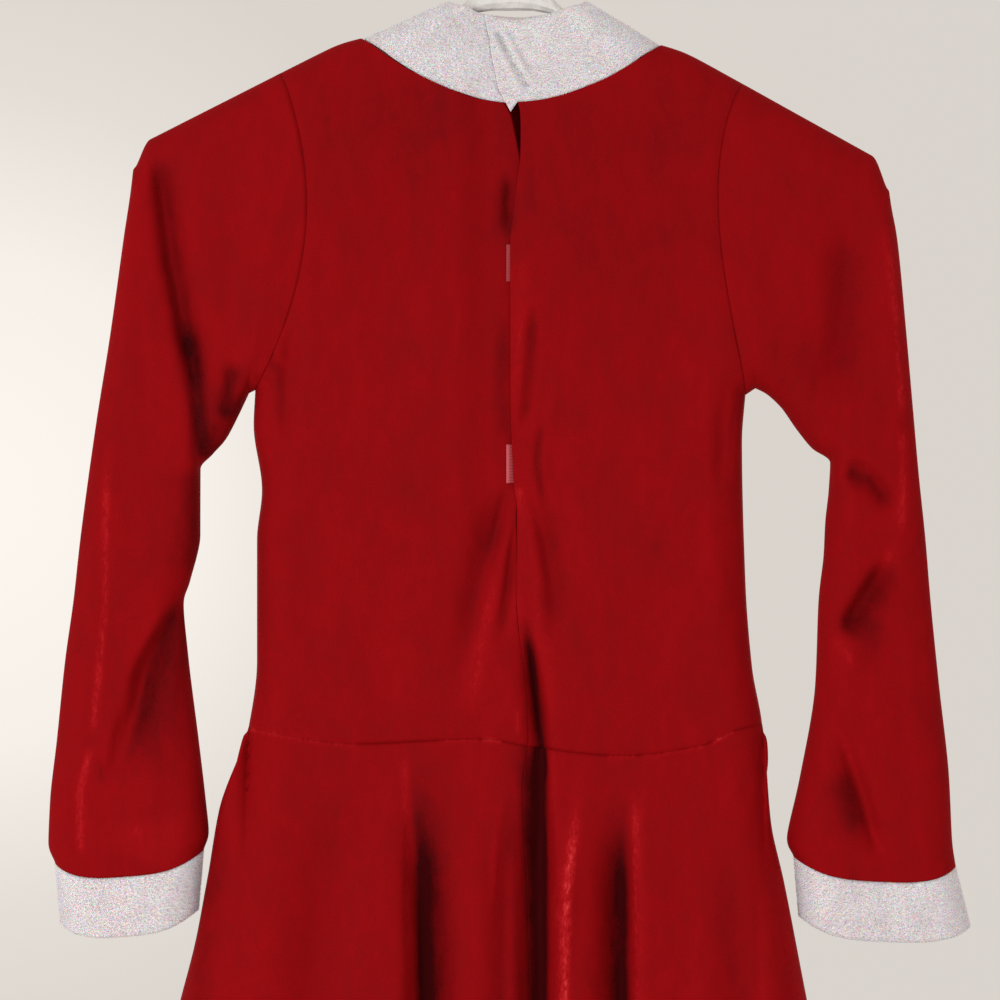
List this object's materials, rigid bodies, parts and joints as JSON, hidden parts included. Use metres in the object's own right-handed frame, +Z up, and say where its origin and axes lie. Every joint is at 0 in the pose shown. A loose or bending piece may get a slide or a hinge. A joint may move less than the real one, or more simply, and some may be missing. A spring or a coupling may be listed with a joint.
{
  "type": "santa helper dress on a hanger",
  "caption": "Child's red velvet helper dress with long sleeves, flared skirt, white plush stand collar and cuffs, on a white plastic hanger.",
  "frame": {"origin": "the bearing point inside the top of the hanger's hook, where a rail would touch", "axes": "+Z up, +X to the right seen from the fastened back, -Y out of the back of the dress"},
  "size_m": [0.553, 0.0839, 0.7969],
  "materials": {
    "velvet": "crushed stretch velvet",
    "plush": "short pile plush",
    "tape": "woven hook-and-loop tape",
    "plastic": "moulded"
  },
  "bodies": {
    "root": {"bodice_front": "velvet", "bodice_back_left": "velvet", "bodice_back_right": "velvet", "sleeve_left": "velvet", "sleeve_right": "velvet", "cuff_left": "plush", "cuff_right": "plush", "collar": "plush", "skirt_front": "velvet", "skirt_back_left": "velvet", "skirt_back_right": "velvet", "tape_upper": "tape", "tape_lower": "tape", "hanger_body": "plastic", "hanger_hook": "plastic"}
  },
  "joints": []
}
